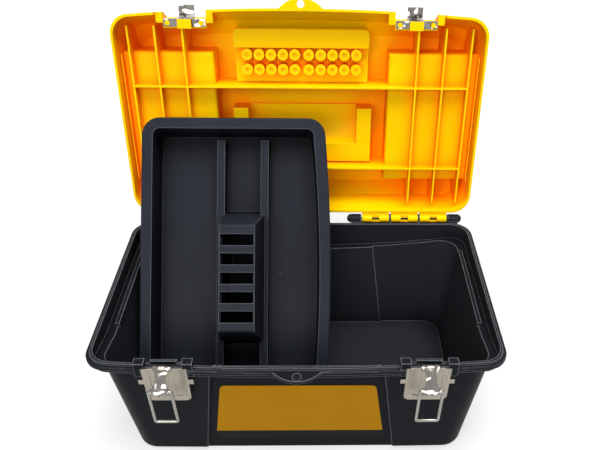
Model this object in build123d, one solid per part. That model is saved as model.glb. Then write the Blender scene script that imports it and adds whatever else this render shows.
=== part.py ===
from build123d import *
import math
import os

# A plastic toolbox with a hinged lid, two draw latches and a lift-out tray.
# Units are millimetres. X runs along the box, Y to the back and Z up.
# The origin is the middle of the base underside.

# Box
RIM_LENGTH = 406.0
RIM_DEPTH = 226.0
RIM_RADIUS = 22.0
FRONT_BOW = 9.0
BOX_HEIGHT = 145.0
WALL = 2.6
FLOOR = 3.0
FLANGE_WIDTH = 3.5
FLANGE_THICKNESS = 4.0
LIP_HEIGHT = 2.0
BASE_INSET_SIDE = 25.0
BASE_INSET_FRONT = 8.0
BASE_INSET_BACK = 26.0
BASE_EDGE_RADIUS = 5.0
WAIST_INSET_SIDE = 13.0
WAIST_INSET_FRONT = 3.0
WAIST_INSET_BACK = 6.0
WAIST_DROP = 10.0
BAND_DROP_FRONT = 11.0
BAND_DROP_CORNER = 18.0
BAND_DROP_CENTRE = 33.0
PANEL_RECESS = 2.0
PANEL_TOP_HALF = 82.0
PANEL_BASE_HALF = 102.0
PADLOCK_TAB_HALF = 25.0
PADLOCK_TAB_REACH = 10.0
PADLOCK_TAB_THICKNESS = 3.5
PADLOCK_HOLE_RADIUS = 4.0
PADLOCK_HOLE_EDGE = 1.8
RIM_NUBS = (-77.0, -72.0, 77.0)
LABEL_THICKNESS = 0.5
LABEL_BOTTOM = 17.0
LABEL_HEIGHT = 92.0
LABEL_TOP_HALF = 77.0
LABEL_BASE_HALF = 90.0

# Hinges between box and lid
HINGE_BEHIND = 8.0
HINGE_ABOVE = 0.7
HINGE_START = 71.0
KNUCKLE_LENGTH = 35.5
KNUCKLE_COUNT = 3
KNUCKLE_RADIUS = 4.6
HINGE_PIN_RADIUS = 1.5
HINGE_EAR_RADIUS = 5.4
HINGE_EAR_LENGTH = 12.0
HINGE_FIN = 2.0
HINGE_SHELF = 2.4
HINGE_GAP = 0.4
OPEN_ANGLE = 101.1

# Lid
LID_LIFT = 0.3
LID_HEIGHT = 52.0
LID_WALL = 2.8
SKIRT = 2.6
RIB = 2.0
RIB_SET_BACK = 7.4
RIB_PLACES = (128.0, 158.0, 187.0)
RIB_FROM = 10.0
RIB_TO = 215.0
SIDE_FIN = 1.4
SIDE_FIN_PLACE = 197.6
SIDE_FIN_SET_BACK = 12.0
CROSS_RIBS = (54.0, 150.0)
POCKET_INNER = 98.0
POCKET_OUTER = 181.0
POCKET_BACK = 35.0
POCKET_FRONT = 186.0
POCKET_FACE = 20.0
POCKET_EDGE = 4.0
COVER_THICKNESS = 2.2
COVER_EDGE = 3.0
COVER_GAP = 0.35
COVER_PIN_RADIUS = 1.0
COVER_BARREL_RADIUS = 1.8
NOTCH_HALF = 30.5
NOTCH_HEIGHT = 9.0
RECESS_HALF = 23.0
RECESS_IN = 5.2
RECESS_TOP = 36.0
SHELF = 3.0

# Carry handle
HANDLE_ARM = 72.0
HANDLE_WIDTH = 9.5
HANDLE_DEPTH = 16.0
HANDLE_PIVOT = 108.0
HANDLE_GRIP = 68.2
HANDLE_GRIP_WIDTH = 15.0
HANDLE_PIVOT_DEPTH = 12.5
HANDLE_PIN_RADIUS = 3.0
CHANNEL_SIDE_GAP = 0.9
CHANNEL_DEPTH = 24.0
SCOOP_REACH = 26.0
SCOOP_STEPS = 8

# Bit holder
BIT_HALF = 75.0
BIT_BACK = 151.5
BIT_STEP = 190.8
BIT_FRONT = 210.7
BIT_FACE = 21.0
BIT_FLOOR = 31.0
BIT_CORNER = 5.0
BIT_ROWS = (168.0, 184.0)
BIT_PER_SIDE = 5
BIT_PITCH = 13.25
BIT_MIDDLE_GAP = 15.6
BIT_PEG_RADIUS = 6.0
BIT_PEG_HEIGHT = 15.0
BIT_DIMPLE_RADIUS = 2.4
BIT_DIMPLE_DEPTH = 1.2

# Latches, with distances out from and in from the rim's front corners
LATCH_PLACE = 124.5
BRACKET_HALF = 27.4
BRACKET_OUT = 5.5
BRACKET_IN = 2.5
BRACKET_RISE = 8.5
BRACKET_BAR = 2.5
BAR_DROP = 1.5
CHEEK = 6.0
CHEEK_DROP = 9.0
SLOT_FROM = 12.6
SLOT_TO = 17.5
SLOT_DEPTH = 5.5
PAD_HALF = 20.5
PAD_OUT = 3.9
PAD_DROP = 44.5
PLATE_HALF = 21.2
PLATE_THICKNESS = 1.2
PLATE_RISE = 1.5
PLATE_RADIUS = 6.0
PLATE_EMBOSS = 0.7
PLATE_KNUCKLE_HALF = 3.0
PLATE_TAB_HALF = 26.0
PLATE_TAB_DROP = 14.0
PLATE_TAB_HEIGHT = 6.0
LEVER_PIVOT_OUT = 7.5
LEVER_PIVOT_RISE = 5.5
LEVER_PIN_RADIUS = 1.5
LEVER_PIN_HALF = 8.5
LEVER_SHEET = 1.2
LEVER_LENGTH = 21.3
LEVER_REACH = 2.2
LEVER_REST = 52.6
LEVER_GAP_HALF = 3.4
LEVER_TOP_HALF = 8.0
LEVER_WAIST_HALF = 4.8
LEVER_WAIST = 0.45
LEVER_TIP = 4.5
BAIL_WIRE_RADIUS = 1.5
BAIL_HALF = 10.6
BAIL_LENGTH = 44.1
PIN_CLEARANCE = 0.06

# Keepers
KEEPER_HALF = 22.3
KEEPER_SHEET = 1.5
KEEPER_IN = 3.4
KEEPER_DEPTH = 8.1
KEEPER_RISE = 18.75
TONGUE_HALF = 8.4
TONGUE_REACH = 11.5
TONGUE_LIP = 2.5
STAKE_PLACE = 18.0
STAKE_IN = 7.7
STAKE_RADIUS = 1.5
STAKE_HEAD_RADIUS = 2.6
STAKE_HEAD = 1.2
CLIP_HALF = 7.5
CLIP = 1.6

# Tray
TRAY_LENGTH = 344.0
TRAY_WIDTH = 201.0
TRAY_BOW = 7.8
TRAY_RADIUS = 20.0
TRAY_DEPTH = 36.0
TRAY_FLANGE = 10.0
TRAY_BASE_INSET = 13.0
TRAY_SKIRT = 7.0
TRAY_WALL = 2.2
TRAY_RIM = 2.6
RIDGE_WIDTH = 9.0
RIDGE_TOP = 17.0
RIDGE_SET_BACK = 9.0
GRIP_CENTRE = 9.0
GRIP_TOP_HALF = 19.0
GRIP_BASE_HALF = 24.5
GRIP_RISE = 30.0
GRIP_FROM = 110.0
GRIP_TO = 224.0
GRIP_SLOPE = 19.0
GRIP_SHEET = 2.4
GRIP_SLOTS = 5
GRIP_SLOT = 11.8
GRIP_PITCH = 20.3
GRIP_RAIL = 1.2
GATE_MARK = (49.0, 171.0)
GATE_MARK_RADIUS = 2.4
GATE_MARK_HEIGHT = 0.7
TRAY_FOOT = 52.82
TRAY_X = -75.5
SEAT_GAP = 0.3

RIM_HALF = RIM_LENGTH / 2
RIM_FRONT = -RIM_DEPTH / 2
RIM_BACK = RIM_DEPTH / 2
HINGE_Y = RIM_BACK + HINGE_BEHIND
HINGE_Z = BOX_HEIGHT + HINGE_ABOVE
LID_BASE = BOX_HEIGHT + LID_LIFT
LID_TOP = LID_BASE + LID_HEIGHT
HINGE_AXIS = Axis((0, HINGE_Y, HINGE_Z), (1, 0, 0))
SIDES = {"left": -1, "right": 1}


def block(x, y, z):
    """A box between pairs of limits along X, Y and Z."""
    size = [max(p) - min(p) for p in (x, y, z)]
    return Pos(*[sum(p) / 2 for p in (x, y, z)]) * Box(*size)


def rod(x, y, z, radius):
    """A round bar along X between a pair of limits."""
    return Pos(sum(x) / 2, y, z) * Rot(0, 90, 0) * Cylinder(radius, max(x) - min(x))


def post(x, y, z, radius):
    """A round bar along Z between a pair of limits."""
    return Pos(x, y, sum(z) / 2) * Cylinder(radius, max(z) - min(z))


def side_profile(points, x):
    """A prism along X from points given as Y, Z."""
    face = make_face(Polyline(*[(min(x), y, z) for y, z in points], close=True))
    return extrude(face, max(x) - min(x), dir=(1, 0, 0))


def front_profile(points, y):
    """A prism along Y from points given as X, Z."""
    face = make_face(Polyline(*[(x, min(y), z) for x, z in points], close=True))
    return extrude(face, max(y) - min(y), dir=(0, 1, 0))


def plan(half, front, back, bow, radius):
    """A rounded outline with its front edge bowed towards -Y."""
    corners = [(-half, front), (half, front), (half, back), (-half, back)]
    edges = [ThreePointArc(corners[0], (0, front - bow), corners[1])]
    edges += [Line(corners[i], corners[(i + 1) % 4]) for i in (1, 2, 3)]
    face = make_face(edges)
    return fillet(face.vertices(), radius)


def stack(levels):
    """A solid through outlines at rising heights, each (height, outline)."""
    return loft([(Pos(0, 0, z) * face).face() for z, face in levels], ruled=True)


def mirrored(solid, side):
    """The solid as drawn on the right, or its mirror image on the left."""
    return solid if side > 0 else mirror(solid, about=Plane.YZ)


def single(shape):
    """The one solid that a construction is meant to leave."""
    solids = shape.solids()
    return max(solids, key=lambda s: s.volume)


def rim_plan(inset, bow=FRONT_BOW):
    """The rim outline, drawn in all round."""
    return plan(RIM_HALF - inset, RIM_FRONT + inset, RIM_BACK - inset, bow, RIM_RADIUS - inset / 2)


# Box shell

WAIST_Z = BOX_HEIGHT - WAIST_DROP
BAND_INSET = FLANGE_WIDTH
BASE_BOW = FRONT_BOW / 6
WAIST_BOW = FRONT_BOW / 2
INNER_TOP = BOX_HEIGHT - BAND_DROP_FRONT + WALL + 1


def body_plan(height, inset):
    """The drafted lower body's outline at a height, drawn in by a wall."""
    t = height / WAIST_Z
    half = RIM_HALF - BASE_INSET_SIDE + t * (BASE_INSET_SIDE - WAIST_INSET_SIDE)
    front = RIM_FRONT + BASE_INSET_FRONT + t * (WAIST_INSET_FRONT - BASE_INSET_FRONT)
    back = RIM_BACK - BASE_INSET_BACK + t * (BASE_INSET_BACK - WAIST_INSET_BACK)
    bow = BASE_BOW + t * (WAIST_BOW - BASE_BOW)
    return plan(half - inset, front + inset, back - inset, bow, RIM_RADIUS + 2 - inset)


def panel_y(height, end):
    """The recessed middle panel's face at a height, on the front (-1) or back (1)."""
    t = height / WAIST_Z
    front = RIM_FRONT + BASE_INSET_FRONT + t * (WAIST_INSET_FRONT - BASE_INSET_FRONT)
    back = RIM_BACK - BASE_INSET_BACK + t * (BASE_INSET_BACK - WAIST_INSET_BACK)
    return front + PANEL_RECESS if end < 0 else back - PANEL_RECESS


def panel_cut(end, inset):
    """What the recessed middle panel takes from the lower body."""
    far = end * RIM_DEPTH
    low, high = -10.0, WAIST_Z + 10.0
    points = [(panel_y(z, end) - end * inset, z) for z in (low, high)]
    wedge = side_profile(points + [(far, high), (far, low)], (-RIM_HALF, RIM_HALF))
    corners = [(PANEL_BASE_HALF, low), (PANEL_TOP_HALF, high)]
    outline = corners + [(-x, z) for x, z in corners[::-1]]
    return wedge & front_profile(outline, (min(0, far), max(0, far)))


def under_band(rise):
    """Everything below the band's lower edge, level in front and arched at the back."""
    drops = (BAND_DROP_FRONT, BAND_DROP_CORNER, BAND_DROP_CENTRE)
    front, corner, centre = [BOX_HEIGHT - drop + rise for drop in drops]
    half, wide, low = RIM_HALF - BAND_INSET, RIM_HALF + 5, -5.0
    step = (RIM_FRONT + RIM_RADIUS, RIM_FRONT / 2)
    edge = [(-RIM_DEPTH, front), (step[0], front), (step[1], corner), (RIM_DEPTH, corner)]
    level = side_profile(edge + [(RIM_DEPTH, low), (-RIM_DEPTH, low)], (-wide, wide))
    arc = ThreePointArc((-half, 0, corner), (0, 0, centre), (half, 0, corner))
    outside = [(half, corner), (wide, corner), (wide, low), (-wide, low), (-wide, corner), (-half, corner)]
    face = make_face([arc, Polyline(*[(x, 0, z) for x, z in outside])])
    arch = Pos(0, RIM_BACK / 2, 0) * extrude(face, RIM_DEPTH, dir=(0, 1, 0))
    return level & (arch + block((-wide, wide), (-RIM_DEPTH, RIM_BACK / 2), (low, BOX_HEIGHT)))


def box_shape():
    low = BOX_HEIGHT - BAND_DROP_CENTRE - 5
    outer = stack([(0, body_plan(0, 0)), (WAIST_Z, body_plan(WAIST_Z, 0))])
    outer = fillet(outer.edges().group_by(Axis.Z)[0], BASE_EDGE_RADIUS)
    inner = stack([(FLOOR, body_plan(FLOOR, WALL)), (INNER_TOP, body_plan(INNER_TOP, WALL))])
    for end in (-1, 1):
        outer -= panel_cut(end, 0)
        inner -= panel_cut(end, WALL)
    band = Pos(0, 0, low) * extrude(rim_plan(BAND_INSET), BOX_HEIGHT + LIP_HEIGHT - low)
    hollow = Pos(0, 0, low) * extrude(rim_plan(BAND_INSET + WALL), BOX_HEIGHT + 20 - low)
    flange = Pos(0, 0, BOX_HEIGHT - FLANGE_THICKNESS) * extrude(rim_plan(0), FLANGE_THICKNESS)
    flange = fillet(flange.edges().group_by(Axis.Z)[-1], 1.2)
    shell = outer + (band - under_band(0)) + flange
    shell += padlock_tab(BOX_HEIGHT - PADLOCK_TAB_THICKNESS, FLANGE_WIDTH + WALL / 2)
    for side in SIDES.values():
        shell += mirrored(latch_pad(), side)
        shell += mirrored(hinge_ears(), side)
    shell -= inner + (hollow - under_band(WALL))
    shell -= padlock_hole()
    for side in SIDES.values():
        shell -= mirrored(latch_clearance(), side)
        shell += mirrored(bracket(), side)
        shell += mirrored(ledge_bead(), side)
        shell -= mirrored(hinge_bore(), side)
    for x in RIM_NUBS:
        shell += rim_nub(x)
    return single(shell)


def rim_nub(x):
    """A small locating nub on the lip of the front edge."""
    bow = FRONT_BOW * (1 - (x / (RIM_HALF - BAND_INSET)) ** 2)
    front = RIM_FRONT + BAND_INSET - bow
    return block((x - 1.2, x + 1.2), (front, front + WALL), (BOX_HEIGHT, BOX_HEIGHT + LIP_HEIGHT + 1.5))


def padlock_tab(z, depth):
    """The rounded lug in the middle of the front edge, rooted to a depth behind it."""
    front = RIM_FRONT - FRONT_BOW
    root = front + depth
    ends = [(-PADLOCK_TAB_HALF, root), (PADLOCK_TAB_HALF, root)]
    face = make_face([ThreePointArc(ends[0], (0, front - PADLOCK_TAB_REACH), ends[1]), Line(*ends)])
    return Pos(0, 0, z) * extrude(face, PADLOCK_TAB_THICKNESS)


PADLOCK_Y = RIM_FRONT - FRONT_BOW - PADLOCK_TAB_REACH + PADLOCK_HOLE_RADIUS + PADLOCK_HOLE_EDGE


def padlock_hole():
    return post(0, PADLOCK_Y, (BOX_HEIGHT - 20, LID_BASE + 20), PADLOCK_HOLE_RADIUS)


def ledge_bead():
    """The low bead along the ledge inside the right-hand end."""
    x = RIM_HALF - WAIST_INSET_SIDE - WALL
    z = BOX_HEIGHT - BAND_DROP_CORNER
    return block((x - 1.5, x + 3), (-45, 75), (z - 2, z + WALL + 2.5))


# Latch brackets, moulded on the box (right-hand one)

BRACKET_TOP = BOX_HEIGHT + BRACKET_RISE
PAD_Y = RIM_FRONT - PAD_OUT
PAD_BOTTOM = BOX_HEIGHT - PAD_DROP
PLATE_TOP = BOX_HEIGHT + PLATE_RISE
LEVER_Y = RIM_FRONT - LEVER_PIVOT_OUT
LEVER_Z = BOX_HEIGHT + LEVER_PIVOT_RISE


def latch_span(half):
    """Limits along X a half-width each side of the right-hand latch."""
    return (LATCH_PLACE - half, LATCH_PLACE + half)


def latch_pairs(inner, outer):
    """The two pairs of limits along X between two distances from the right-hand latch."""
    return [(LATCH_PLACE - outer, LATCH_PLACE - inner), (LATCH_PLACE + inner, LATCH_PLACE + outer)]


def latch_pad():
    """The raised seat behind the latch plate."""
    return block(latch_span(PAD_HALF), (PAD_Y, RIM_FRONT + 4), (PAD_BOTTOM, PLATE_TOP - 0.5))


def latch_clearance():
    """What the rim loses in front of the seat."""
    front = RIM_FRONT - FRONT_BOW - 1
    return block(latch_span(BRACKET_HALF - CHEEK), (front, PAD_Y), (WAIST_Z, BRACKET_TOP))


def bracket():
    """Two cheeks with blocks on top, joined by a low bar behind the lever."""
    y = (RIM_FRONT - BRACKET_OUT, RIM_FRONT + BRACKET_IN)
    x = latch_span(BRACKET_HALF)
    lip = BOX_HEIGHT + LIP_HEIGHT
    solid = block(x, (RIM_FRONT - 3, y[1]), (BOX_HEIGHT - FLANGE_THICKNESS, lip))
    solid += block(x, (y[1] - BRACKET_BAR, y[1]), (lip - 1, BRACKET_TOP - BAR_DROP))
    for x in latch_pairs(SLOT_FROM, SLOT_TO):
        solid -= block(x, y, (BRACKET_TOP - SLOT_DEPTH, BRACKET_TOP))
    for x in latch_pairs(SLOT_TO, BRACKET_HALF):
        solid += block(x, y, (PLATE_TOP + SEAT_GAP, BRACKET_TOP))
    for x in latch_pairs(BRACKET_HALF - CHEEK, BRACKET_HALF):
        solid += block(x, y, (BOX_HEIGHT - CHEEK_DROP, BRACKET_TOP))
    return solid


# Hinge ears, moulded on the box (right-hand pair)

HINGE_LENGTH = KNUCKLE_LENGTH * KNUCKLE_COUNT
HINGE_END = HINGE_START + HINGE_LENGTH


def ear(x):
    """A support from the back wall round the pin."""
    disc = rod(x, HINGE_Y, HINGE_Z, HINGE_EAR_RADIUS)
    low = HINGE_Z - HINGE_EAR_RADIUS
    wall_y = RIM_BACK - 4
    web = side_profile(
        [
            (HINGE_Y + HINGE_EAR_RADIUS * 0.7, HINGE_Z - HINGE_EAR_RADIUS * 0.71),
            (HINGE_Y - 2, HINGE_Z),
            (wall_y, BOX_HEIGHT - 1),
            (wall_y, low - 14),
        ],
        x,
    )
    return disc + web


def hinge_ears():
    """The domed end ears, the fins between the lid's barrels and the shelf under them."""
    ends = (HINGE_START - HINGE_EAR_LENGTH, HINGE_END + HINGE_EAR_LENGTH)
    top = HINGE_Z - KNUCKLE_RADIUS - 0.6
    solid = block(ends, (RIM_BACK - 4, HINGE_Y + 3), (top - HINGE_SHELF, top))
    solid += ear((ends[0], HINGE_START))
    solid += ear((HINGE_END, ends[1]))
    for x in ends:
        solid += Pos(x, HINGE_Y, HINGE_Z) * Sphere(HINGE_EAR_RADIUS - 0.05)
    for i in range(1, KNUCKLE_COUNT):
        x = HINGE_START + i * KNUCKLE_LENGTH
        solid += ear((x - HINGE_FIN / 2, x + HINGE_FIN / 2))
    return solid


def hinge_bore():
    x = (HINGE_START - HINGE_EAR_LENGTH + 2, HINGE_END + HINGE_EAR_LENGTH - 2)
    return rod(x, HINGE_Y, HINGE_Z, HINGE_PIN_RADIUS)


def hinge_pin(side):
    x = (HINGE_START - HINGE_EAR_LENGTH + 2, HINGE_END + HINGE_EAR_LENGTH - 2)
    return mirrored(rod(x, HINGE_Y, HINGE_Z, HINGE_PIN_RADIUS), side)


def front_label():
    low, high = LABEL_BOTTOM, LABEL_BOTTOM + LABEL_HEIGHT
    corners = [(LABEL_BASE_HALF, low), (LABEL_TOP_HALF, high)]
    outline = corners + [(-x, z) for x, z in corners[::-1]]
    prism = front_profile(outline, (-2 * RIM_DEPTH, 0))
    prism = fillet(prism.edges().filter_by(Axis.Y), 6)
    out, back = 0.1 + LABEL_THICKNESS, 0.1
    wedge = side_profile(
        [
            (panel_y(0, -1) - back, 0),
            (panel_y(WAIST_Z, -1) - back, WAIST_Z),
            (panel_y(WAIST_Z, -1) - out, WAIST_Z),
            (panel_y(0, -1) - out, 0),
        ],
        (-RIM_HALF, RIM_HALF),
    )
    return single(prism & wedge)


# Lid, drawn closed and turned open at the end


def lid_plan(inset, side, front, back, bow):
    return plan(
        RIM_HALF - side - inset,
        RIM_FRONT + front + inset,
        RIM_BACK - back - inset,
        bow,
        RIM_RADIUS - inset / 2,
    )


LID_LEVELS = (
    (0.0, 0.0, 0.0, 0.0, 1.0),
    (0.28, 1.0, 1.5, 1.0, 0.95),
    (0.73, 7.0, 12.0, 7.0, 0.8),
    (1.0, 15.0, 27.0, 21.0, 0.65),
)


def lid_solid(inset, drop):
    """The lid's outside, or its hollow when drawn in by a wall."""
    levels = []
    for share, side, front, back, bow in LID_LEVELS:
        z = LID_BASE + share * (LID_HEIGHT - drop)
        levels.append((z, lid_plan(inset, side, front, back, FRONT_BOW * bow)))
    if inset:
        first = LID_LEVELS[0]
        levels[0] = (LID_BASE - 1, lid_plan(inset, first[1], first[2], first[3], FRONT_BOW))
    return stack(levels)


def from_back(d):
    """The Y of a distance forward from the back rim."""
    return RIM_BACK - d


def d_block(x, d, t):
    """A block in the lid by X, distance from the back rim and height above the rim."""
    return block(x, (from_back(d[1]), from_back(d[0])), (LID_BASE + t[0], LID_BASE + t[1]))


def lid_inside():
    """Pockets, ribs and handle channel, before they are trimmed to the lid."""
    top = LID_HEIGHT
    wide = RIM_HALF
    parts = Part()
    for turn in (-1, 1):
        x = sorted((turn * POCKET_INNER, turn * wide))
        pocket = d_block(x, (POCKET_BACK, POCKET_FRONT), (POCKET_FACE, top))
        parts += fillet(pocket.faces().sort_by(Axis.Z)[0].edges(), POCKET_EDGE)
        for place in RIB_PLACES:
            x = (turn * place - RIB / 2, turn * place + RIB / 2)
            parts += d_block(x, (RIB_FROM, RIB_TO), (RIB_SET_BACK, top))
        x = (turn * SIDE_FIN_PLACE - SIDE_FIN / 2, turn * SIDE_FIN_PLACE + SIDE_FIN / 2)
        parts += d_block(x, (POCKET_BACK + 2, POCKET_FRONT - 2), (SIDE_FIN_SET_BACK, top))
        outer = HANDLE_ARM + HANDLE_WIDTH / 2 + CHANNEL_SIDE_GAP + LID_WALL
        inner = HANDLE_ARM - HANDLE_WIDTH / 2 - CHANNEL_SIDE_GAP - LID_WALL
        x = sorted((turn * inner, turn * outer))
        parts += d_block(x, (CHANNEL_FROM - LID_WALL, CHANNEL_TO + LID_WALL), (CHANNEL_FACE, top))
    reach = RIB_PLACES[-1]
    for d in CROSS_RIBS:
        parts += d_block((-reach, reach), (d - RIB / 2, d + RIB / 2), (RIB_SET_BACK, top))
    return parts + scoop(LID_WALL)


CHANNEL_FROM = HANDLE_GRIP - HANDLE_GRIP_WIDTH / 2 - CHANNEL_SIDE_GAP
CHANNEL_GRIP = HANDLE_GRIP + HANDLE_GRIP_WIDTH / 2 + CHANNEL_SIDE_GAP
CHANNEL_TO = HANDLE_PIVOT + HANDLE_DEPTH / 2 + 3.0
CHANNEL_FACE = LID_HEIGHT - CHANNEL_DEPTH - LID_WALL


def scoop(wall):
    """The finger scoop in front of the grip, curving up to the top of the lid."""
    half = HANDLE_ARM + wall
    floor = LID_HEIGHT - CHANNEL_DEPTH - wall
    start, reach, rise = CHANNEL_GRIP + wall, SCOOP_REACH + LID_WALL - wall, CHANNEL_DEPTH - 3
    over = LID_HEIGHT + 1
    points = [(CHANNEL_FROM - wall, over), (CHANNEL_FROM - wall, floor)]
    for i in range(SCOOP_STEPS + 1):
        turn = math.radians(90 * i / SCOOP_STEPS)
        points.append((start + reach * (1 - math.cos(turn)), floor + rise * math.sin(turn)))
    points += [(CHANNEL_TO + wall, floor + rise), (CHANNEL_TO + wall, over)]
    return side_profile([(from_back(d), LID_BASE + t) for d, t in points], (-half, half))


def lid_cuts():
    """Organiser pockets, cover seats, handle channel, latch notches and bores."""
    over = LID_HEIGHT + 1
    cut = Part()
    inner = HANDLE_ARM - HANDLE_WIDTH / 2 - CHANNEL_SIDE_GAP
    outer = HANDLE_ARM + HANDLE_WIDTH / 2 + CHANNEL_SIDE_GAP
    for turn in (-1, 1):
        x = sorted((turn * (POCKET_INNER + LID_WALL), turn * POCKET_OUTER))
        d = (POCKET_BACK + LID_WALL, POCKET_FRONT - LID_WALL)
        cut += d_block(x, d, (POCKET_FACE + LID_WALL, over))
        x = sorted((turn * (POCKET_INNER + LID_WALL - COVER_EDGE), turn * (POCKET_OUTER + 1)))
        d = (d[0] - COVER_EDGE, d[1] + COVER_EDGE)
        cut += d_block(x, d, (LID_HEIGHT - COVER_THICKNESS - COVER_GAP, over))
        cut += mirrored(cover_bore(), turn)
        x = sorted((turn * inner, turn * outer))
        cut += d_block(x, (CHANNEL_FROM, CHANNEL_TO), (LID_HEIGHT - CHANNEL_DEPTH, over))
        cut += mirrored(latch_recess(), turn)
    pin = HANDLE_PIN_RADIUS + PIN_CLEARANCE
    reach = outer + LID_WALL + 1
    cut += rod((-reach, -outer + 1), from_back(HANDLE_PIVOT), HANDLE_AXIS_Z, pin)
    cut += rod((outer - 1, reach), from_back(HANDLE_PIVOT), HANDLE_AXIS_Z, pin)
    return cut + scoop(0)


HANDLE_AXIS_Z = LID_TOP - HANDLE_PIVOT_DEPTH
COVER_AXIS_X = POCKET_OUTER - COVER_BARREL_RADIUS - 0.6
COVER_AXIS_Z = LID_TOP - COVER_THICKNESS / 2 - 0.3
COVER_FROM = POCKET_BACK + LID_WALL - COVER_EDGE
COVER_TO = POCKET_FRONT - LID_WALL + COVER_EDGE
COVER_PIN_REACH = 5.0


def cover_rod(extra, radius):
    y = (from_back(COVER_TO + extra), from_back(COVER_FROM - extra))
    bar = Pos(0, sum(y) / 2, COVER_AXIS_Z) * Rot(90, 0, 0) * Cylinder(radius, y[1] - y[0])
    return Pos(COVER_AXIS_X, 0, 0) * bar


def cover_bore():
    return cover_rod(COVER_PIN_REACH, COVER_PIN_RADIUS)


def lid_knuckles():
    """The barrels on the lid's back edge (right-hand three)."""
    solid = Part()
    for i in range(KNUCKLE_COUNT):
        start = HINGE_START + i * KNUCKLE_LENGTH + HINGE_FIN / 2 + HINGE_GAP
        end = HINGE_START + (i + 1) * KNUCKLE_LENGTH - HINGE_FIN / 2 - HINGE_GAP
        barrel = rod((start, end), HINGE_Y, HINGE_Z, KNUCKLE_RADIUS)
        web = block((start, end), (RIM_BACK - 2, HINGE_Y), (LID_BASE + 0.6, HINGE_Z + KNUCKLE_RADIUS))
        middle = (start + end) / 2
        window = block(
            (middle - 4.5, middle + 4.5),
            (HINGE_Y - 6, HINGE_Y + 6),
            (HINGE_Z - KNUCKLE_RADIUS - 1, HINGE_Z - 1.0),
        )
        solid += barrel + web - window
    return solid


NOTCH_Z = LID_BASE + NOTCH_HEIGHT
RECESS_Y = RIM_FRONT + RECESS_IN
LID_FRONT = RIM_FRONT - FRONT_BOW - 5
KEEPER_LOW = NOTCH_Z - SEAT_GAP - KEEPER_SHEET
KEEPER_FRONT = RIM_FRONT + KEEPER_IN
KEEPER_BACK = KEEPER_FRONT + KEEPER_DEPTH
STAKE_Y = RIM_FRONT + STAKE_IN


def recess_walls():
    """The back and side walls of the right-hand latch recess, before they are trimmed."""
    y = (LID_FRONT, RECESS_Y + LID_WALL)
    return block(latch_span(NOTCH_HALF), y, (NOTCH_Z, LID_BASE + RECESS_TOP))


def latch_recess():
    """The notch over the right-hand bracket and the recess for the tongue above it."""
    low = LID_BASE - 2
    notch = block(latch_span(NOTCH_HALF), (LID_FRONT, RECESS_Y + LID_WALL), (low, NOTCH_Z))
    notch += block(latch_span(RECESS_HALF), (LID_FRONT, KEEPER_BACK + SEAT_GAP), (low, NOTCH_Z))
    return notch + block(latch_span(RECESS_HALF), (LID_FRONT, RECESS_Y), (low, LID_BASE + RECESS_TOP))


def keeper_seat():
    """The shelf over the right-hand keeper, with two stakes and a clip under it."""
    back = KEEPER_BACK + SEAT_GAP + CLIP
    shelf = block(latch_span(RECESS_HALF), (RECESS_Y, back), (NOTCH_Z, NOTCH_Z + SHELF))
    head = KEEPER_LOW - SEAT_GAP
    for turn in (-1, 1):
        x = LATCH_PLACE + turn * STAKE_PLACE
        shelf += post(x, STAKE_Y, (head - STAKE_HEAD, NOTCH_Z + 1), STAKE_RADIUS)
        shelf += post(x, STAKE_Y, (head - STAKE_HEAD, head), STAKE_HEAD_RADIUS)
    shelf += block(latch_span(CLIP_HALF), (back - CLIP, back), (head - CLIP, NOTCH_Z + 1))
    shelf += block(latch_span(CLIP_HALF), (KEEPER_FRONT + 0.6, back), (head - CLIP, head))
    return shelf


def lid_shape():
    outer = lid_solid(0, 0)
    inside = lid_inside()
    for side in SIDES.values():
        inside += mirrored(recess_walls(), side)
    lid = outer - lid_solid(SKIRT, LID_WALL) + (inside & outer)
    lid += padlock_tab(LID_BASE, SKIRT - 0.2)
    for side in SIDES.values():
        lid += mirrored(lid_knuckles(), side)
    lid -= lid_cuts()
    for side in SIDES.values():
        lid += mirrored(keeper_seat(), side)
        bore = rod((HINGE_START, HINGE_END), HINGE_Y, HINGE_Z, HINGE_PIN_RADIUS + PIN_CLEARANCE)
        lid -= mirrored(bore, side)
    lid -= padlock_hole()
    return single(lid)


def opened(solid):
    """A lid part turned from closed to its open rest position."""
    return solid.rotate(HINGE_AXIS, -OPEN_ANGLE)


def keeper(side):
    """A bent strip: a leg under the lid's shelf, an upright and a lipped tongue."""
    top = KEEPER_LOW + KEEPER_RISE
    tip = KEEPER_FRONT - TONGUE_REACH
    x = latch_span(TONGUE_HALF)
    leg = (KEEPER_LOW, KEEPER_LOW + KEEPER_SHEET)
    strip = block(latch_span(KEEPER_HALF), (KEEPER_FRONT, KEEPER_BACK), leg)
    strip += block(x, (KEEPER_FRONT, KEEPER_FRONT + KEEPER_SHEET), (KEEPER_LOW, top))
    strip += block(x, (tip, KEEPER_FRONT + KEEPER_SHEET), (top - KEEPER_SHEET, top))
    strip += block(x, (tip, tip + KEEPER_SHEET), (top - KEEPER_SHEET, top + TONGUE_LIP))
    for turn in (-1, 1):
        x = LATCH_PLACE + turn * STAKE_PLACE
        strip -= post(x, STAKE_Y, (KEEPER_LOW - 1, NOTCH_Z), STAKE_RADIUS + SEAT_GAP)
    return mirrored(single(strip), side)


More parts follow.
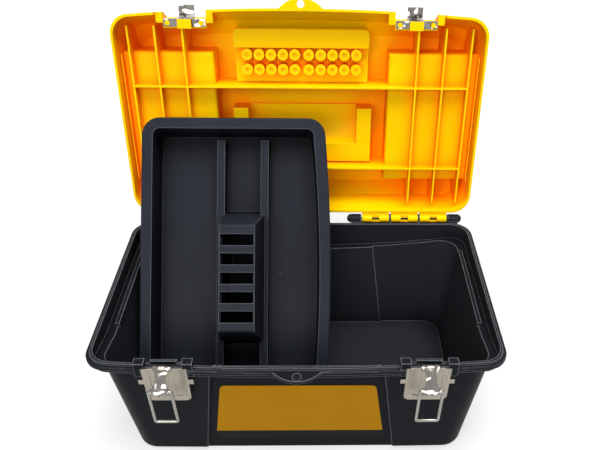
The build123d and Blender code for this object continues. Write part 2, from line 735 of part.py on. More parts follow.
def bit_holder():
    """A moulded rack of dimpled pegs held inside the front of the lid."""
    gap = SEAT_GAP
    hollow = lid_solid(SKIRT + gap, LID_WALL + gap)
    low = d_block((-BIT_HALF, BIT_HALF), (BIT_BACK, BIT_FRONT), (BIT_FLOOR, LID_HEIGHT))
    high = d_block((-BIT_HALF, BIT_HALF), (BIT_STEP, BIT_FRONT), (BIT_FACE, LID_HEIGHT))
    body = Part()
    for solid in (low, high):
        body += fillet(solid.edges().filter_by(Axis.Z).group_by(Axis.Y)[0], BIT_CORNER)
    side = BIT_HALF - LID_WALL
    over = LID_HEIGHT + 5
    body -= d_block((-side, side), (BIT_BACK + LID_WALL, BIT_FRONT + 60), (BIT_FLOOR + LID_WALL, over))
    body -= d_block((-side, side), (BIT_STEP + LID_WALL, BIT_FRONT - LID_WALL), (BIT_FACE + LID_WALL, over))
    ends = [BIT_MIDDLE_GAP / 2 + i * BIT_PITCH for i in range(BIT_PER_SIDE)]
    top = LID_BASE + BIT_FLOOR - BIT_PEG_HEIGHT
    for d in BIT_ROWS:
        for x in [-e for e in ends] + ends:
            body += post(x, from_back(d), (top, LID_BASE + BIT_FLOOR + 1), BIT_PEG_RADIUS)
            body -= post(x, from_back(d), (top - 1, top + BIT_DIMPLE_DEPTH), BIT_DIMPLE_RADIUS)
    return single(body & hollow)


def organiser_cover(side):
    """A clear cover over one organiser pocket, with its hinge barrel."""
    gap = COVER_GAP
    x = (POCKET_INNER + LID_WALL - COVER_EDGE + gap, COVER_AXIS_X)
    d = (COVER_FROM + gap, COVER_TO - gap)
    plate = d_block(x, d, (LID_HEIGHT - COVER_THICKNESS, LID_HEIGHT))
    barrel = cover_rod(-COVER_EDGE - gap, COVER_BARREL_RADIUS)
    tab_y = from_back((COVER_FROM + COVER_TO) / 2)
    tab = block((x[0] + 2, x[0] + 8), (tab_y - 12, tab_y + 12), (LID_TOP - 1, LID_TOP + 2))
    solid = plate + barrel + tab
    solid -= cover_rod(COVER_PIN_REACH, COVER_PIN_RADIUS + PIN_CLEARANCE)
    return mirrored(single(solid), side)


def cover_pin(side):
    return mirrored(cover_rod(COVER_PIN_REACH, COVER_PIN_RADIUS), side)


def carry_handle():
    """A bail handle folded into the top of the lid."""
    half = HANDLE_WIDTH / 2
    middle = LID_HEIGHT - HANDLE_PIVOT_DEPTH
    low, high = middle - HANDLE_DEPTH / 2, middle + HANDLE_DEPTH / 2
    depth = (HANDLE_GRIP - HANDLE_GRIP_WIDTH / 2, HANDLE_GRIP + HANDLE_GRIP_WIDTH / 2)
    solid = d_block((-HANDLE_ARM - half, HANDLE_ARM + half), depth, (low, high))
    for turn in (-1, 1):
        x = sorted((turn * (HANDLE_ARM - half), turn * (HANDLE_ARM + half)))
        solid += d_block(x, (HANDLE_GRIP, HANDLE_PIVOT), (low, high))
        solid += rod(x, from_back(HANDLE_PIVOT), HANDLE_AXIS_Z, HANDLE_DEPTH / 2)
    edges = solid.edges().filter_by(Axis.X).group_by(Axis.Y)[-1]
    solid = fillet(edges, 3)
    pin_end = HANDLE_ARM + half + CHANNEL_SIDE_GAP + LID_WALL
    for turn in (-1, 1):
        x = sorted((turn * HANDLE_ARM, turn * pin_end))
        solid += rod(x, from_back(HANDLE_PIVOT), HANDLE_AXIS_Z, HANDLE_PIN_RADIUS)
    return single(solid)


# Latches


BARREL_RADIUS = LEVER_PIN_RADIUS + PIN_CLEARANCE + LEVER_SHEET
CURL_RADIUS = BAIL_WIRE_RADIUS + PIN_CLEARANCE + LEVER_SHEET
CURL_OUTER = BAIL_HALF - BAIL_WIRE_RADIUS - 0.4
CURL_INNER = CURL_OUTER - 5.0
CURL_Y = LEVER_Y - LEVER_REACH
CURL_Z = LEVER_Z - LEVER_LENGTH
LEVER_AXIS = Axis((0, LEVER_Y, LEVER_Z), (1, 0, 0))


def latch_plate(side):
    """A sheet plate with a raised border, hooked under the bracket and rolled round the pin."""
    x = latch_span(PLATE_HALF)
    back = PAD_Y - 0.1
    face = back - PLATE_THICKNESS
    low, top = PAD_BOTTOM, PLATE_TOP
    sheet = block(x, (face, back), (low, top))
    sheet = fillet(sheet.edges().filter_by(Axis.Y).group_by(Axis.Z)[0], PLATE_RADIUS)
    border = (low + 4, BOX_HEIGHT - CHEEK_DROP)
    raised = block((x[0] + 4, x[1] - 4), (face - PLATE_EMBOSS, face + 0.2), border)
    raised = fillet(raised.edges().filter_by(Axis.Y).group_by(Axis.Z)[0], PLATE_RADIUS - 1)
    sunk = block((x[0] + 7, x[1] - 7), (face - PLATE_EMBOSS - 1, face), (low + 7, top + 1))
    sunk = fillet(sunk.edges().filter_by(Axis.Y).group_by(Axis.Z)[0], PLATE_RADIUS - 2)
    tab_top = BOX_HEIGHT - PLATE_TAB_DROP
    tabs = block(latch_span(PLATE_TAB_HALF), (face, back), (tab_top - PLATE_TAB_HEIGHT, tab_top))
    middle = latch_span(PLATE_KNUCKLE_HALF)
    reach = LEVER_Y + BARREL_RADIUS
    web = [(face, top - 1), (back, top - 1), (reach, LEVER_Z), (reach - LEVER_SHEET, LEVER_Z)]
    plate = sheet + raised - sunk + tabs
    plate += side_profile(web, middle) + rod(middle, LEVER_Y, LEVER_Z, BARREL_RADIUS)
    plate -= rod(middle, LEVER_Y, LEVER_Z, LEVER_PIN_RADIUS)
    return mirrored(single(plate), side)


def latch_pin(side):
    return mirrored(rod(latch_span(LEVER_PIN_HALF), LEVER_Y, LEVER_Z, LEVER_PIN_RADIUS), side)


def fishtail():
    """The lever's outline as seen from the front, as a prism along Y."""
    y = LEVER_Y - 20
    waist_z = LEVER_Z - LEVER_WAIST * LEVER_LENGTH
    tip = (LATCH_PLACE, y, CURL_Z - LEVER_TIP)
    edges = []
    for turn in (-1, 1):
        top = (LATCH_PLACE + turn * LEVER_TOP_HALF, y, LEVER_Z)
        waist = (LATCH_PLACE + turn * LEVER_WAIST_HALF, y, waist_z)
        tail = (LATCH_PLACE + turn * CURL_OUTER, y, CURL_Z)
        edges += [Line((LATCH_PLACE, y, LEVER_Z), top), ThreePointArc(top, waist, tail), Line(tail, tip)]
    return extrude(make_face(edges), 40, dir=(0, 1, 0))


def latch_lever(side):
    """A fishtail lever rolled round its pin and round the ends of the bail, swung out."""
    end = 1 + LEVER_TIP / LEVER_LENGTH
    front = LEVER_Y - BARREL_RADIUS
    tail = (front - end * LEVER_REACH, LEVER_Z - end * LEVER_LENGTH)
    sheet = [(front, LEVER_Z), (front + LEVER_SHEET, LEVER_Z), (tail[0] + LEVER_SHEET, tail[1]), tail]
    solid = side_profile(sheet, latch_span(BAIL_HALF)) & fishtail()
    for x in latch_pairs(LEVER_GAP_HALF, LEVER_TOP_HALF):
        solid += rod(x, LEVER_Y, LEVER_Z, BARREL_RADIUS)
    for x in latch_pairs(CURL_INNER, CURL_OUTER):
        solid += rod(x, CURL_Y, CURL_Z, CURL_RADIUS)
    wide = latch_span(BAIL_HALF)
    solid -= rod(latch_span(LEVER_GAP_HALF), LEVER_Y, LEVER_Z, BARREL_RADIUS + 0.5)
    solid -= rod(wide, LEVER_Y, LEVER_Z, LEVER_PIN_RADIUS + PIN_CLEARANCE)
    solid -= rod(wide, CURL_Y, CURL_Z, BAIL_WIRE_RADIUS + PIN_CLEARANCE)
    return mirrored(single(solid).rotate(LEVER_AXIS, -LEVER_REST), side)


def latch_bail(side):
    """A wire loop hanging by its turned-in ends from the lever that is swung out."""
    out = math.radians(LEVER_REST)
    y = LEVER_Y - LEVER_REACH * math.cos(out) - LEVER_LENGTH * math.sin(out)
    z = LEVER_Z + LEVER_REACH * math.sin(out) - LEVER_LENGTH * math.cos(out)
    low = z - BAIL_LENGTH
    ends = latch_span(CURL_INNER)
    sides = latch_span(BAIL_HALF)
    path = FilletPolyline(
        (ends[0], y, z),
        (sides[0], y, z),
        (sides[0], y, low),
        (sides[1], y, low),
        (sides[1], y, z),
        (ends[1], y, z),
        radius=BAIL_WIRE_RADIUS + 0.3,
    )
    start = Plane(origin=(ends[0], y, z), z_dir=(-1, 0, 0))
    return mirrored(single(sweep(start * Circle(BAIL_WIRE_RADIUS), path=path)), side)


# Tray, drawn flat with its foot at the origin and then stood in the box


def tray_plan(inset):
    face = plan(
        TRAY_LENGTH / 2 - inset,
        -TRAY_WIDTH / 2 + inset,
        TRAY_WIDTH / 2 - inset,
        TRAY_BOW,
        max(TRAY_RADIUS - inset, 6),
    )
    return Pos(0, TRAY_LENGTH / 2) * Rot(0, 0, 90) * face


def tray_shape():
    flange = extrude(tray_plan(0), -TRAY_SKIRT)
    flange = fillet(flange.edges().group_by(Axis.Z)[-1], 2.0)
    under = Pos(0, 0, -TRAY_SKIRT - 1) * extrude(tray_plan(TRAY_WALL), TRAY_SKIRT + 1 - TRAY_RIM)
    outer = stack([(-TRAY_DEPTH, tray_plan(TRAY_BASE_INSET)), (0, tray_plan(TRAY_FLANGE))])
    inner = stack(
        [
            (-TRAY_DEPTH + TRAY_WALL, tray_plan(TRAY_BASE_INSET + TRAY_WALL)),
            (1, tray_plan(TRAY_FLANGE + TRAY_WALL)),
        ]
    )
    tray = (flange - under) + outer - inner
    tray += Pos(GRIP_CENTRE, 0, 0) * ((ridges(0) & below(inner)) + grip())
    tray -= Pos(GRIP_CENTRE, 0, 0) * ridges(TRAY_WALL)
    tray -= Pos(GRIP_CENTRE, 0, 0) * grip_hollow()
    floor = -TRAY_DEPTH + TRAY_WALL
    tray += post(GATE_MARK[0], GATE_MARK[1], (floor - 1, floor + GATE_MARK_HEIGHT), GATE_MARK_RADIUS)
    return single(tray)


def below(inner):
    """The tray's hollow and base, moved to where the ridges are drawn."""
    return Pos(-GRIP_CENTRE, 0, -TRAY_WALL) * inner


def ridges(wall):
    """The two ridges that part the compartments, or the grooves under them."""
    ends = TRAY_BASE_INSET + RIDGE_SET_BACK + 2 * wall
    half = RIDGE_WIDTH / 2 - wall
    solid = Part()
    for turn in (-1, 1):
        x = turn * GRIP_BASE_HALF
        z = (-TRAY_DEPTH - wall, -RIDGE_TOP - wall)
        solid += block((x - half, x + half), (ends, TRAY_LENGTH - ends), z)
    return solid


def grip():
    """The raised grip, solid, with its crown's ends rounded."""
    solid = grip_block(0, GRIP_BASE_HALF, -TRAY_DEPTH + TRAY_WALL / 2)
    return fillet(solid.edges().filter_by(Axis.X).group_by(Axis.Z)[-1], 4)


def grip_hollow():
    """The hollow in the grip, open under the tray, and the ladder of slots in its crown."""
    solid = grip_block(GRIP_SHEET, GRIP_BASE_HALF - RIDGE_WIDTH / 2, -TRAY_DEPTH - 1)
    first = (GRIP_FROM + GRIP_TO) / 2 - GRIP_PITCH * (GRIP_SLOTS - 1) / 2
    reach = GRIP_TOP_HALF - GRIP_RAIL
    for i in range(GRIP_SLOTS):
        y = first + i * GRIP_PITCH
        slot = (y - GRIP_SLOT / 2, y + GRIP_SLOT / 2)
        solid += block((-reach, reach), slot, (GRIP_RISE - 2 * GRIP_SHEET, GRIP_RISE + 1))
    return solid


def grip_block(sheet, base_half, low):
    """The grip's form, drawn in by a sheet, with its sides and ends sloping up to the crown."""
    start, end, crown = GRIP_FROM + sheet, GRIP_TO - sheet, GRIP_RISE - sheet
    over = [(start - GRIP_SLOPE, low), (start, crown), (end, crown), (end + GRIP_SLOPE, low)]
    right = [(base_half, low), (base_half, -RIDGE_TOP), (GRIP_TOP_HALF - sheet, crown)]
    left = [(-x, z) for x, z in right[::-1]]
    solid = side_profile(over, (-GRIP_BASE_HALF, GRIP_BASE_HALF))
    return solid & front_profile(right + left, (0, TRAY_LENGTH))


def tray_stood():
    """The tray standing on its base edge and leaning on the open lid's ribs."""
    opening = math.radians(OPEN_ANGLE)
    edge_y, edge_z = RIM_FRONT + TRAY_FOOT, FLOOR + SEAT_GAP
    rib = LID_BASE + RIB_SET_BACK - HINGE_Z - SEAT_GAP
    away = rib - (edge_z - HINGE_Z) * math.cos(opening) - (edge_y - HINGE_Y) * math.sin(opening)
    lean = opening - math.acos(away / (TRAY_LENGTH - 2 * TRAY_BASE_INSET))
    foot_y = edge_y - TRAY_BASE_INSET * math.sin(lean) - TRAY_DEPTH * math.cos(lean)
    foot_z = edge_z - TRAY_BASE_INSET * math.cos(lean) + TRAY_DEPTH * math.sin(lean)
    return Pos(TRAY_X, foot_y, foot_z) * Rot(90 - math.degrees(lean), 0, 0) * tray_shape()


os.makedirs("parts", exist_ok=True)
nodes = {
    "box_shell": box_shape(),
    "front_label": front_label(),
    "lid_shell": opened(lid_shape()),
    "bit_holder": opened(bit_holder()),
    "carry_handle": opened(carry_handle()),
    "tray": tray_stood(),
}
for name, side in SIDES.items():
    nodes[f"hinge_pin_{name}"] = hinge_pin(side)
    nodes[f"latch_plate_{name}"] = latch_plate(side)
    nodes[f"latch_pin_{name}"] = latch_pin(side)
    nodes[f"latch_lever_{name}"] = latch_lever(side)
    nodes[f"latch_bail_{name}"] = latch_bail(side)
    nodes[f"keeper_{name}"] = opened(keeper(side))
    nodes[f"organiser_cover_{name}"] = opened(organiser_cover(side))
    nodes[f"cover_pin_{name}"] = opened(cover_pin(side))
for name, solid in nodes.items():
    export_step(solid, f"parts/{name}.step")
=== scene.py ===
# %% [markdown]
# # A plastic toolbox with its lift-out tray
# The solids were drawn as engineering parts and packed as one model. This lesson dresses them:
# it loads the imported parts, gives each a finish worked out from what it is really made of, sets up
# a small white studio, and puts the camera where the photographer stood. Nothing is remodelled
# here, because every form that shows is already in the solids.

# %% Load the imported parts
import math

import bpy
from mathutils import Matrix, Vector


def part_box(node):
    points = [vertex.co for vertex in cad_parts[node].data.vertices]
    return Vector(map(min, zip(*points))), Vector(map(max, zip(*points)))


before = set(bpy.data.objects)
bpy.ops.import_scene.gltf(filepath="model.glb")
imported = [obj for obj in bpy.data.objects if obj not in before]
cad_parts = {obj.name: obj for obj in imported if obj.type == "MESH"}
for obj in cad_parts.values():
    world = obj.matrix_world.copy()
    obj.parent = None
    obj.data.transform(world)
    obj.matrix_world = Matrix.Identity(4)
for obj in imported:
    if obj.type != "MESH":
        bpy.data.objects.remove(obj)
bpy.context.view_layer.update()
print("nodes:", len(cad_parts))

# %% [markdown]
# ## Colours and nodes
# Colours are written as the eye sees them, in sRGB hex, and Blender shades in linear light, so one
# function turns the first into the second. A second function adds a shader node: every input is
# either a plain value or the output of another node, which keeps each material readable in one go.

# %% Helpers for materials
MM = 0.001


def linear(code):
    """An sRGB hex colour as linear RGBA."""
    channels = [int(code[i:i + 2], 16) / 255 for i in (1, 3, 5)]
    return [c / 12.92 if c <= 0.04045 else ((c + 0.055) / 1.055) ** 2.4 for c in channels] + [1.0]


def add_node(owner, kind, inputs=None, **settings):
    """A new node in owner's tree; an input that is a socket is linked, and any other is set."""
    tree = owner.node_tree
    node = tree.nodes.new(kind)
    for name, value in settings.items():
        setattr(node, name, value)
    for name, value in (inputs or {}).items():
        if isinstance(value, bpy.types.NodeSocket):
            tree.links.new(value, node.inputs[name])
        else:
            node.inputs[name].default_value = value
    return node


def blank_material(name):
    """A material with an empty node tree."""
    material = bpy.data.materials.new(name)
    material.use_nodes = True
    material.node_tree.nodes.clear()
    return material


def finish_with(material, *names):
    """Gives CAD nodes their finish."""
    for name in names:
        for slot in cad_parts[name].material_slots:
            slot.material = material
    print(material.name, "->", ", ".join(names))


print("middle grey in linear light:", round(linear("#808080")[0], 3))

# %% [markdown]
# ## Moulded plastic
# The box, tray, lid and handle are injection-moulded polypropylene. A mould leaves broad, soft
# drifts of tone where the melt flowed, a fine matt grain from the spark-eroded steel, and edges that
# are never sharp. All this could be painted on unwrapped surfaces, but noise that is read at a
# point's own place needs no unwrapping and holds from every side. So a wide noise tints the colour,
# a fine one roughens the surface, and a bevel in the shader rounds the corners. The real grain is
# near 0.15 mm, too fine for the picture, so it is drawn at 0.6 mm.
#
# Faces that look towards the middle of the piece get a tone of their own; in the box it is paler,
# painted light that stands in for the light falling into the tub. Corners get a paler painted
# highlight, and where the rounded normal turns away from the flat one there is a corner. Nooks get
# painted shade, found by how much of the piece itself stands around a point.

# %% The recipe for moulded polypropylene
FLOW = 60 * MM
FLOW_DARKEST = 0.3
FLOW_PALEST = 0.7
GLOSS_DRIFT = 0.05
GRAIN = 0.6 * MM
GRAIN_DEPTH = 0.03 * MM
GRAIN_STRENGTH = 0.5
MOULDED_EDGE = 0.7 * MM
# The width of the painted corner highlight and where it begins and is full; then where the painted
# shade in nooks is full and ends.
HIGHLIGHT_EDGE = 1.8 * MM
HIGHLIGHT_BEGINS = 0.98
HIGHLIGHT_IS_FULL = 0.80
NOOK_SHADE_IS_FULL = 0.3
NOOK_SHADE_ENDS = 0.8


def moulded(name, piece, dark, pale, inside_painted_light, edge_highlight, nook_shade, depth, roughness, sheen):
    """Moulded plastic between two tones, with an inside tone (painted light), a painted highlight on
    corners and painted shade in nooks of a depth.
    """
    material = blank_material(name)
    own = add_node(material, "ShaderNodeTexCoord")
    place = own.outputs["Object"]

    # The melt's drifts, in colour and in gloss.
    drift = add_node(material, "ShaderNodeTexNoise", {
        "Vector": place, "Scale": 1 / FLOW, "Detail": 3.0})
    tone = add_node(material, "ShaderNodeValToRGB", {"Fac": drift.outputs["Fac"]})
    tone.color_ramp.elements[0].position = FLOW_DARKEST
    tone.color_ramp.elements[0].color = linear(dark)
    tone.color_ramp.elements[1].position = FLOW_PALEST
    tone.color_ramp.elements[1].color = linear(pale)
    gloss = add_node(material, "ShaderNodeMapRange", {
        "Value": drift.outputs["Fac"],
        "To Min": roughness - GLOSS_DRIFT, "To Max": roughness + GLOSS_DRIFT})

    # The inside faces, in a tone of their own: in the box a paler painted light.
    low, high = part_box(piece)
    outwards = add_node(material, "ShaderNodeVectorMath", {
        0: place, 1: (low + high) / 2}, operation="SUBTRACT")
    facing = add_node(material, "ShaderNodeVectorMath", {
        0: own.outputs["Normal"], 1: outwards.outputs["Vector"]}, operation="DOT_PRODUCT")
    inside = add_node(material, "ShaderNodeMath", {
        0: facing.outputs["Value"], 1: 0.0}, operation="LESS_THAN")
    both_sides = add_node(material, "ShaderNodeMix", {
        0: inside.outputs["Value"], 6: tone.outputs["Color"], 7: linear(inside_painted_light)}, data_type="RGBA")

    # The corners, with a paler painted highlight.
    flat = add_node(material, "ShaderNodeNewGeometry").outputs["Normal"]
    highlight_bevel = add_node(material, "ShaderNodeBevel", {"Radius": HIGHLIGHT_EDGE}, samples=4)
    turned = add_node(material, "ShaderNodeVectorMath", {
        0: flat, 1: highlight_bevel.outputs["Normal"]}, operation="DOT_PRODUCT")
    corner = add_node(material, "ShaderNodeMapRange", {
        "Value": turned.outputs["Value"], "From Min": HIGHLIGHT_BEGINS, "From Max": HIGHLIGHT_IS_FULL})
    highlighted = add_node(material, "ShaderNodeMix", {
        0: corner.outputs["Result"], 6: both_sides.outputs[2], 7: linear(edge_highlight)}, data_type="RGBA")

    # The nooks, with painted shade.
    openness = add_node(
        material, "ShaderNodeAmbientOcclusion", {"Distance": depth}, samples=8, only_local=True)
    clear_of_nook_shade = add_node(material, "ShaderNodeMapRange", {
        "Value": openness.outputs["AO"], "From Min": NOOK_SHADE_IS_FULL, "From Max": NOOK_SHADE_ENDS})
    colour = add_node(material, "ShaderNodeMix", {
        0: clear_of_nook_shade.outputs["Result"], 6: linear(nook_shade), 7: highlighted.outputs[2]}, data_type="RGBA")

    # The grain, over rounded edges.
    rounded = add_node(material, "ShaderNodeBevel", {"Radius": MOULDED_EDGE}, samples=4)
    spark = add_node(material, "ShaderNodeTexNoise", {
        "Vector": place, "Scale": 1 / GRAIN, "Detail": 2.0})
    bump = add_node(material, "ShaderNodeBump", {
        "Height": spark.outputs["Fac"], "Distance": GRAIN_DEPTH, "Strength": GRAIN_STRENGTH,
        "Normal": rounded.outputs["Normal"]})

    shader = add_node(material, "ShaderNodeBsdfPrincipled", {
        "Base Color": colour.outputs[2], "Roughness": gloss.outputs["Result"],
        "Specular IOR Level": sheen, "Normal": bump.outputs["Normal"]})
    add_node(material, "ShaderNodeOutputMaterial", {"Surface": shader.outputs["BSDF"]})
    return material


print("grain:", GRAIN / MM, "mm, drifts:", FLOW / MM, "mm")

# %% [markdown]
# ## The four mouldings
# Each piece was moulded by itself, so each has a batch of its own. The box is a dark satin black, and
# painted light makes its inside paler. The tray is a little bluer, and painted shade sinks its
# compartments to near black. The handle is the dullest, for grip. The lid is a full yellow, and
# because light goes from wall to wall inside it, its nooks get an orange painted shade. All four get
# a paler painted highlight on their corners. The bit holder was moulded in the lid's yellow.

# %% Box, tray, handle and lid
# Each call gives the inside tone (paler painted light in the box), the painted corner highlight and
# the painted shade in nooks.
box_plastic = moulded(
    "box_black_polypropylene", "box_shell", dark="#14161a", pale="#191b1f", inside_painted_light="#26282c",
    edge_highlight="#7d8084", nook_shade="#0a0b0d", depth=45 * MM, roughness=0.42, sheen=0.03)
tray_plastic = moulded(
    "tray_black_polypropylene", "tray", dark="#1c1f25", pale="#23262e", inside_painted_light="#20232a",
    edge_highlight="#5c5f66", nook_shade="#040506", depth=85 * MM, roughness=0.40, sheen=0.06)
handle_plastic = moulded(
    "handle_black_polypropylene", "carry_handle", dark="#18191b", pale="#1f2023", inside_painted_light="#1a1b1d",
    edge_highlight="#3a3b3e", nook_shade="#141517", depth=14 * MM, roughness=0.5, sheen=0.2)
lid_plastic = moulded(
    "lid_yellow_polypropylene", "lid_shell", dark="#fdc600", pale="#fdd100", inside_painted_light="#fdcc00",
    edge_highlight="#ffd620", nook_shade="#ff9300", depth=50 * MM, roughness=0.42, sheen=0.04)
finish_with(box_plastic, "box_shell")
finish_with(tray_plastic, "tray")
finish_with(handle_plastic, "carry_handle")
finish_with(lid_plastic, "lid_shell", "bit_holder")

# %% [markdown]
# ## Latch metal
# All the metal is steel, and what covers it makes the difference. Rolling and drawing leave fine
# marks along the metal, and pressing leaves soft dents, which break up the reflections. The dents
# could be modelled, but they are too shallow to show in an outline, so a broad noise bends the
# normal instead. A second noise, stretched along the height, gives the rolling marks.

# %% The recipe for plated steel
ROLLING_MARK = (0.4 * MM, 0.4 * MM, 14 * MM)
MARK_DARKEST = 0.25
MARK_PALEST = 0.75
MARK_GLOSS = 0.3
DENT = 8 * MM
PRESSED_EDGE = 0.35 * MM


def plated(name, dark, pale, roughness, dents):
    """Plated steel between two tones, with fine marks drawn out by the rolling and soft dents."""
    material = blank_material(name)
    place = add_node(material, "ShaderNodeTexCoord").outputs["Object"]

    # The rolling marks, in colour and in gloss.
    drawn = add_node(material, "ShaderNodeMapping", {
        "Vector": place, "Scale": [1 / size for size in ROLLING_MARK]})
    marks = add_node(material, "ShaderNodeTexNoise", {
        "Vector": drawn.outputs["Vector"], "Scale": 1.0, "Detail": 3.0})
    tone = add_node(material, "ShaderNodeValToRGB", {"Fac": marks.outputs["Fac"]})
    tone.color_ramp.elements[0].position = MARK_DARKEST
    tone.color_ramp.elements[0].color = linear(dark)
    tone.color_ramp.elements[1].position = MARK_PALEST
    tone.color_ramp.elements[1].color = linear(pale)
    gloss = add_node(material, "ShaderNodeMapRange", {
        "Value": marks.outputs["Fac"],
        "To Min": roughness * (1 - MARK_GLOSS), "To Max": roughness * (1 + MARK_GLOSS)})

    # The dents, over rounded edges.
    rounded = add_node(material, "ShaderNodeBevel", {"Radius": PRESSED_EDGE}, samples=4)
    waves = add_node(material, "ShaderNodeTexNoise", {
        "Vector": place, "Scale": 1 / DENT, "Detail": 0.0})
    bump = add_node(material, "ShaderNodeBump", {
        "Height": waves.outputs["Fac"], "Distance": dents, "Strength": 1.0,
        "Normal": rounded.outputs["Normal"]})

    shader = add_node(material, "ShaderNodeBsdfPrincipled", {
        "Base Color": tone.outputs["Color"], "Roughness": gloss.outputs["Result"],
        "Metallic": 1.0, "Normal": bump.outputs["Normal"]})
    add_node(material, "ShaderNodeOutputMaterial", {"Surface": shader.outputs["BSDF"]})
    return material


print("dents:", DENT / MM, "mm across")

# %% [markdown]
# ## The five metals
# The latch plates are nickel: a warm grey with wide, soft reflections. The levers and keepers are
# chromed and dented, so they break into bright and dark patches. The bails are chromed wire, which
# shows as thin bright lines. The latch pins and cover pins are plain bright steel, and the hinge pins
# are blued, so that they hardly show against the black ears that hold them.

# %% Nickel, chrome and pin steel
SIDES = ("left", "right")
nickel = plated("nickel_plated_sheet", "#8c867a", "#aaa497", roughness=0.30, dents=0.3 * MM)
chrome = plated("chromed_steel", "#5a5753", "#9d9a95", roughness=0.12, dents=2.2 * MM)
wire = plated("chromed_wire", "#7c7975", "#a4a19c", roughness=0.16, dents=0.3 * MM)
steel = plated("bright_pin_steel", "#8b8a87", "#aaa8a3", roughness=0.32, dents=0.1 * MM)
blued = plated("blued_pin_steel", "#1b1c1f", "#26282b", roughness=0.38, dents=0.1 * MM)
finish_with(nickel, *[f"latch_plate_{side}" for side in SIDES])
finish_with(chrome, *[f"{piece}_{side}" for piece in ("latch_lever", "keeper") for side in SIDES])
finish_with(wire, *[f"latch_bail_{side}" for side in SIDES])
finish_with(steel, *[f"{piece}_{side}" for piece in ("latch_pin", "cover_pin") for side in SIDES])
finish_with(blued, *[f"hinge_pin_{side}" for side in SIDES])

# %% [markdown]
# ## Clear covers
# The two organiser covers on top of the lid are moulded in clear polystyrene. A glass shader would
# bend the light, but in so thin a sheet light hardly bends, so the sheet is made nearly transparent
# instead. Most of the light goes straight through, and a faint cast and a little gloss stay.

# %% Clear polystyrene
POLYSTYRENE_IOR = 1.59
COVER_CAST = 0.07
COVER_DRIFT = 40 * MM
clear = blank_material("clear_polystyrene")
clear_place = add_node(clear, "ShaderNodeTexCoord").outputs["Object"]
clear_drift = add_node(clear, "ShaderNodeTexNoise", {
    "Vector": clear_place, "Scale": 1 / COVER_DRIFT})
clear_gloss = add_node(clear, "ShaderNodeMapRange", {
    "Value": clear_drift.outputs["Fac"], "To Min": 0.04, "To Max": 0.12})
clear_tone = add_node(clear, "ShaderNodeValToRGB", {"Fac": clear_drift.outputs["Fac"]})
clear_tone.color_ramp.elements[0].color = linear("#98a1a4")
clear_tone.color_ramp.elements[1].color = linear("#b2babd")
clear_shader = add_node(clear, "ShaderNodeBsdfPrincipled", {
    "Base Color": clear_tone.outputs["Color"], "Roughness": clear_gloss.outputs["Result"],
    "IOR": POLYSTYRENE_IOR, "Specular IOR Level": 0.5, "Alpha": COVER_CAST})
add_node(clear, "ShaderNodeOutputMaterial", {"Surface": clear_shader.outputs["BSDF"]})
finish_with(clear, *[f"organiser_cover_{side}" for side in SIDES])

# %% [markdown]
# ## Front label
# The label is a printed vinyl sticker: a golden yellow field over a dark foot band. Two solids could
# carry the two inks, but a sticker is one sheet, so its height decides the ink. The band is measured
# up from the label's own lower edge, and the ink of the field drifts a little, as print does.

# %% Printed vinyl
BAND_HEIGHT = 14 * MM
INK_DRIFT = 35 * MM
label_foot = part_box("front_label")[0].z
label_ink = blank_material("printed_vinyl_label")
label_place = add_node(label_ink, "ShaderNodeTexCoord").outputs["Object"]
label_axes = add_node(label_ink, "ShaderNodeSeparateXYZ", {"Vector": label_place})
label_drift = add_node(label_ink, "ShaderNodeTexNoise", {
    "Vector": label_place, "Scale": 1 / INK_DRIFT})
label_tone = add_node(label_ink, "ShaderNodeValToRGB", {"Fac": label_drift.outputs["Fac"]})
label_tone.color_ramp.elements[0].color = linear("#ab7700")
label_tone.color_ramp.elements[1].color = linear("#b88204")
in_band = add_node(label_ink, "ShaderNodeMath", {
    0: label_axes.outputs["Z"], 1: label_foot + BAND_HEIGHT}, operation="LESS_THAN")
label_colour = add_node(label_ink, "ShaderNodeMix", {
    0: in_band.outputs["Value"], 6: label_tone.outputs["Color"],
    7: linear("#1b1a18")}, data_type="RGBA")
label_shader = add_node(label_ink, "ShaderNodeBsdfPrincipled", {
    "Base Color": label_colour.outputs[2], "Roughness": 0.35, "Specular IOR Level": 0.04})
add_node(label_ink, "ShaderNodeOutputMaterial", {"Surface": label_shader.outputs["BSDF"]})
finish_with(label_ink, "front_label")

# %% [markdown]
# ## The studio
# The photograph was taken on white. A white floor and a white sky would throw too much light on the
# object from every side, so the paper is grey and the sky dim, and both glow only for the rays that
# show a background: those from the camera, and those that come off metal or through clear plastic.
# The floor keeps a soft shadow, so the object stands on something. Away from the object its glow
# grows, so that it meets the sky without an edge.

# %% The rays that show a background
WHITE = linear("#ffffff")


def background_rays(owner):
    """1 for the rays that show a background, and 0 for those that carry light."""
    path = add_node(owner, "ShaderNodeLightPath")
    shown = path.outputs["Is Camera Ray"]
    for kind in ("Is Glossy Ray", "Is Transmission Ray"):
        either = add_node(owner, "ShaderNodeMath", {
            0: shown, 1: path.outputs[kind]}, operation="MAXIMUM")
        shown = either.outputs["Value"]
    return shown


print("background white:", WHITE[:3])

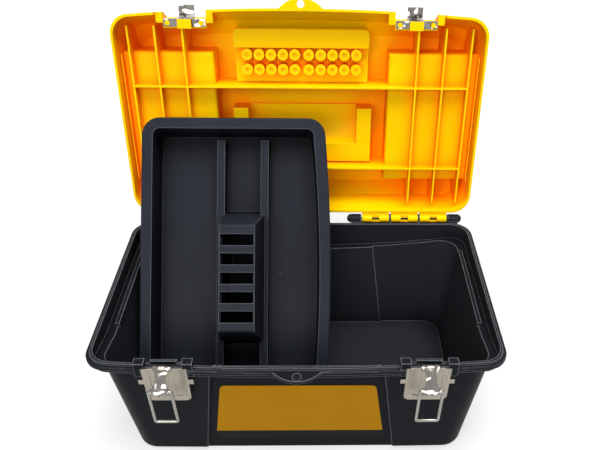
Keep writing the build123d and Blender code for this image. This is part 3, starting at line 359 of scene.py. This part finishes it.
# %% Floor
FLOOR_SIZE = 12.0
FLOOR_DROP = 0.4 * MM
GLOW_NEAR = 0.55
GLOW_FAR = 1.0
GLOW_GROWS_FROM = 0.4
GLOW_GROWS_TO = 1.8
bpy.ops.mesh.primitive_plane_add(size=FLOOR_SIZE, location=(0, 0, -FLOOR_DROP))
floor = bpy.context.object
floor.name = "studio_floor"
floor_paper = blank_material("studio_paper")
paper_place = add_node(floor_paper, "ShaderNodeTexCoord").outputs["Object"]
from_middle = add_node(floor_paper, "ShaderNodeVectorMath", {0: paper_place}, operation="LENGTH")
growing = add_node(floor_paper, "ShaderNodeMapRange", {
    "Value": from_middle.outputs["Value"], "From Min": GLOW_GROWS_FROM, "From Max": GLOW_GROWS_TO,
    "To Min": GLOW_NEAR, "To Max": GLOW_FAR})
strength = add_node(floor_paper, "ShaderNodeMath", {
    0: growing.outputs["Result"], 1: background_rays(floor_paper)}, operation="MULTIPLY")
glow = add_node(floor_paper, "ShaderNodeEmission", {
    "Color": WHITE, "Strength": strength.outputs["Value"]})
paper = add_node(floor_paper, "ShaderNodeBsdfDiffuse", {"Color": linear("#acacac")})
lit_paper = add_node(floor_paper, "ShaderNodeAddShader", {
    0: paper.outputs["BSDF"], 1: glow.outputs["Emission"]})
add_node(floor_paper, "ShaderNodeOutputMaterial", {"Surface": lit_paper.outputs["Shader"]})
floor.data.materials.append(floor_paper)
print("floor:", FLOOR_SIZE, "m square")

# %% Sky
SKY_BELOW = 0.1
SKY_ABOVE = 0.4
SKY_RISES_FROM = -0.1
SKY_RISES_TO = 0.9
SKY_SHOWN = 1.0
sky = bpy.data.worlds.new("studio_sky")
bpy.context.scene.world = sky
sky.use_nodes = True
sky.node_tree.nodes.clear()
heading = add_node(sky, "ShaderNodeSeparateXYZ", {
    "Vector": add_node(sky, "ShaderNodeTexCoord").outputs["Generated"]})
rising = add_node(sky, "ShaderNodeMapRange", {
    "Value": heading.outputs["Z"], "From Min": SKY_RISES_FROM, "From Max": SKY_RISES_TO,
    "To Min": SKY_BELOW, "To Max": SKY_ABOVE})
sky_strength = add_node(sky, "ShaderNodeMix", {
    0: background_rays(sky), 2: rising.outputs["Result"], 3: SKY_SHOWN})
sky_light = add_node(sky, "ShaderNodeBackground", {
    "Color": WHITE, "Strength": sky_strength.outputs[0]})
add_node(sky, "ShaderNodeOutputWorld", {"Surface": sky_light.outputs["Background"]})
print("sky light:", SKY_BELOW, "to", SKY_ABOVE)

# %% [markdown]
# ## Lamps
# A large softbox hangs above, and a weaker one fills from the front. Small lamps would give hard
# shadows, which the photograph doesn't have: the softboxes' size is what makes the shadows soft and
# the sheen on the black plastic wide.

# %% Softboxes
AIM = Vector((0, 0, 0.12))


def softbox(name, place, width, height, watts):
    """A rectangular lamp that faces the toolbox."""
    lamp = bpy.data.lights.new(name, "AREA")
    lamp.shape = "RECTANGLE"
    lamp.size = width
    lamp.size_y = height
    lamp.energy = watts
    holder = bpy.data.objects.new(name, lamp)
    bpy.context.collection.objects.link(holder)
    holder.location = place
    holder.rotation_euler = (AIM - Vector(place)).to_track_quat("-Z", "Y").to_euler()
    print(name, watts, "W")


softbox("overhead_softbox", place=(0.1, -0.15, 1.85), width=1.2, height=0.8, watts=36)
softbox("front_fill", place=(-0.4, -1.8, 1.2), width=1.4, height=0.9, watts=24)

# %% [markdown]
# ## Camera
# The place, tilt and focal length come from lines of the photograph whose real size is known: the
# rim's corners, the lid's edges and the floor of the tub. The lens is slightly off centre, because
# the picture was cropped, so the camera has a small shift.

# %% The photographer's place
IMAGE_WIDTH = 600
IMAGE_HEIGHT = 450
CAMERA_PLACE = Vector((23.4, -502.0, 604.1)) * MM
TILT_DOWN = math.radians(39.02)
TURN = math.radians(-1.75)
ROLL = math.radians(1.24)
FOCAL_PIXELS = 626.8
CENTRE_X = 337.2
CENTRE_Y = 247.5
SENSOR_WIDTH = 36
NEAREST = 10 * MM

camera_data = bpy.data.cameras.new("photo_camera")
camera = bpy.data.objects.new("photo_camera", camera_data)
bpy.context.collection.objects.link(camera)
bpy.context.scene.camera = camera
camera_data.sensor_width = SENSOR_WIDTH
camera_data.lens = FOCAL_PIXELS * SENSOR_WIDTH / IMAGE_WIDTH
camera_data.shift_x = (IMAGE_WIDTH / 2 - CENTRE_X) / IMAGE_WIDTH
camera_data.shift_y = (CENTRE_Y - IMAGE_HEIGHT / 2) / IMAGE_WIDTH
camera_data.clip_start = NEAREST
camera.matrix_world = (
    Matrix.Translation(CAMERA_PLACE)
    @ Matrix.Rotation(TURN, 4, "Z")
    @ Matrix.Rotation(math.pi / 2 - TILT_DOWN, 4, "X")
    @ Matrix.Rotation(ROLL, 4, "Z"))
bpy.context.scene.view_settings.view_transform = "Standard"
print("lens:", round(camera_data.lens, 2), "mm")
